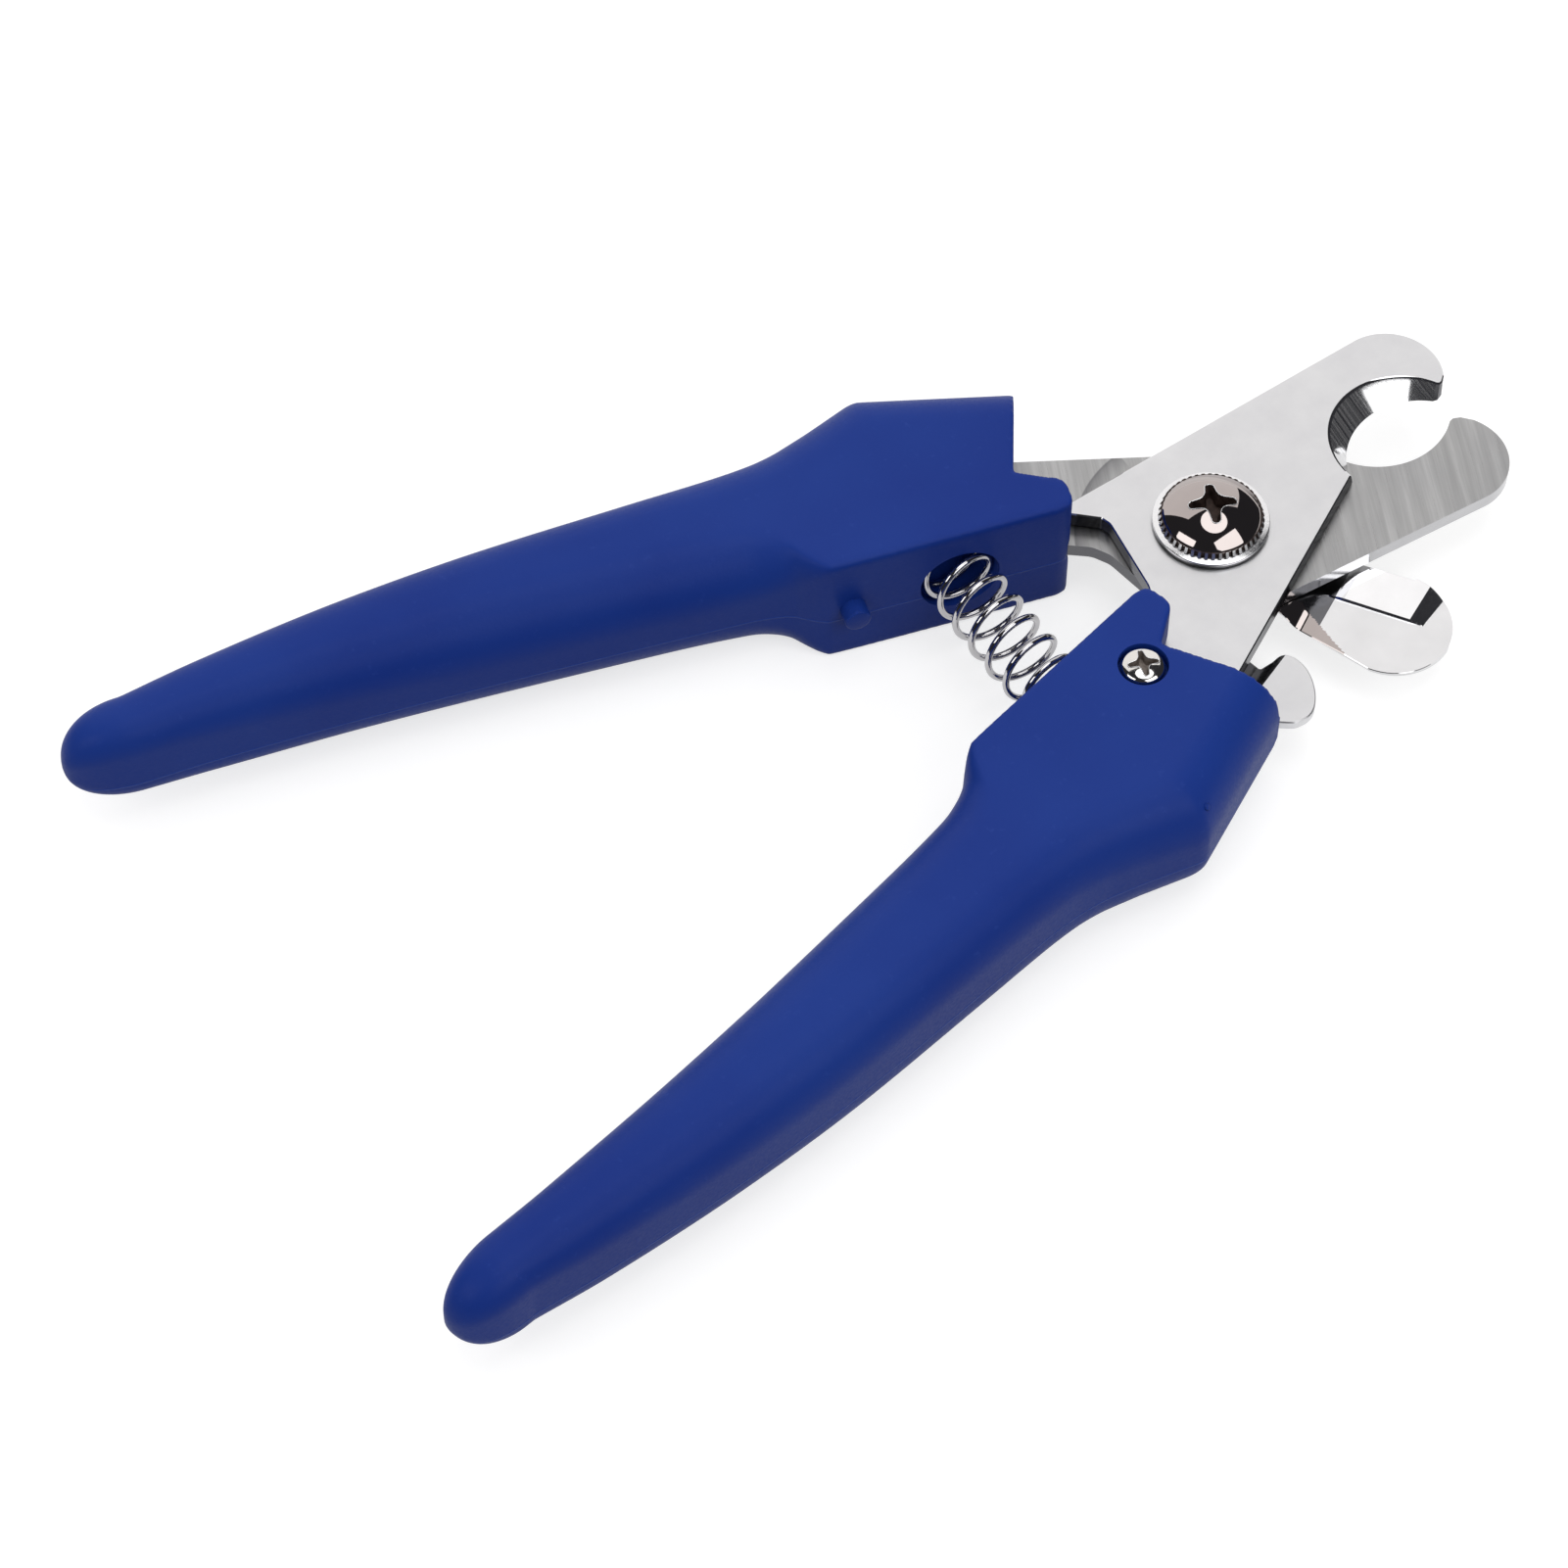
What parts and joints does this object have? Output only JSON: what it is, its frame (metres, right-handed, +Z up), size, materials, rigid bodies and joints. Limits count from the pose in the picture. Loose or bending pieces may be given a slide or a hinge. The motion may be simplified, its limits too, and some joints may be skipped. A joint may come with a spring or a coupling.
{
  "type": "pet nail clipper",
  "caption": "Plier-type pet nail clipper: two crossing notched blades on a screw pivot, sprung plastic handles, a swinging nail guard and a lock lever",
  "frame": {"origin": "the middle of the bounding box in X and Y, at the lowest point: the undersides of the handle heads, on which the clipper lies", "axes": "+X from the handles to the blade tips, along the longest extent; +Z up, parallel to the pivot axis; +Y towards the left handle, seen with the tips pointing away"},
  "size_m": [0.1594, 0.0872, 0.0166],
  "materials": {
    "handle_plastic": "satin moulded blue plastic with a fine grain",
    "blade_steel": "light satin steel with ground bright edges",
    "brushed_blade_steel": "steel brushed across the blade",
    "pivot_nickel": "polished dark nickel",
    "polished_steel": "polished plated steel",
    "guard_steel": "mirror-polished sheet steel",
    "lever_steel": "satin sheet steel",
    "screw_nickel": "bright nickel plate",
    "spring_wire": "polished spring wire"
  },
  "bodies": {
    "right": {"right_handle": "handle_plastic", "upper_blade": "blade_steel", "pivot_screw": "pivot_nickel", "pivot_washer": "pivot_nickel", "spring_washer": "polished_steel", "pivot_nut": "polished_steel", "lock_screw": "screw_nickel", "handle_spring": "spring_wire"},
    "left": {"left_handle": "handle_plastic", "lower_blade": "brushed_blade_steel"},
    "guard": {"nail_guard": "guard_steel"},
    "lock": {"lock_lever": "lever_steel"}
  },
  "joints": [
    {"name": "squeeze", "type": "hinge", "parent": "right", "child": "left", "pos_m": [0.04385, 0, 0.0081], "axis": [0, 0, 1], "range_deg": [0, 33], "stiffness_Nm_per_rad": 0.05, "springref_deg": -17.19, "deforming": ["handle_spring"]},
    {"name": "guard_swing", "type": "hinge", "parent": "right", "child": "guard", "pos_m": [0.04385, 0, 0.0054], "axis": [0, 0, 1], "range_deg": [0, 60]},
    {"name": "lock_swing", "type": "hinge", "parent": "right", "child": "lock", "pos_m": [0.02325, -0.0155, 0.0065], "axis": [0, 0, 1], "range_deg": [0, 5]}
  ]
}
